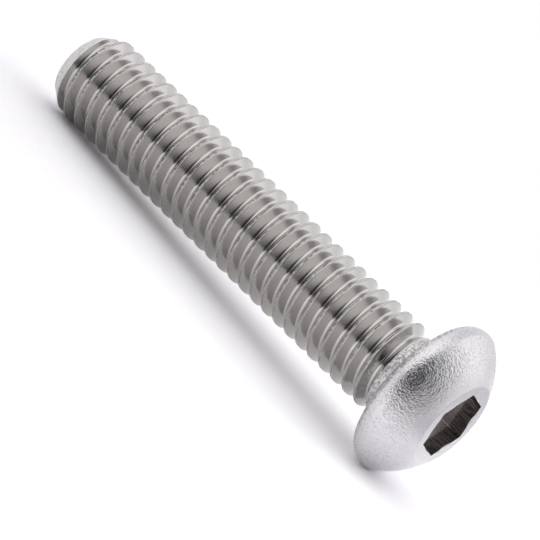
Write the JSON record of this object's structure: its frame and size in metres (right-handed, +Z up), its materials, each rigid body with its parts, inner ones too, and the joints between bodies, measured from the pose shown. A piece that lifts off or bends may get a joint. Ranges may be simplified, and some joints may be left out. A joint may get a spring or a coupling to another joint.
{
  "type": "button head socket screw",
  "caption": "Button head screw with a hexagon socket and a metric thread up to the head, lying at rest on its rim and tip.",
  "frame": {"origin": "centre of the bounding box's base, on the floor under the lying screw", "axes": "+X towards the head along the lying screw, +Z up; the screw's own axis rises 4.4 degrees towards the head"},
  "size_m": [0.0332, 0.0102, 0.0103],
  "materials": {
    "steel": "satin"
  },
  "bodies": {
    "root": {"screw": "steel"}
  },
  "joints": []
}
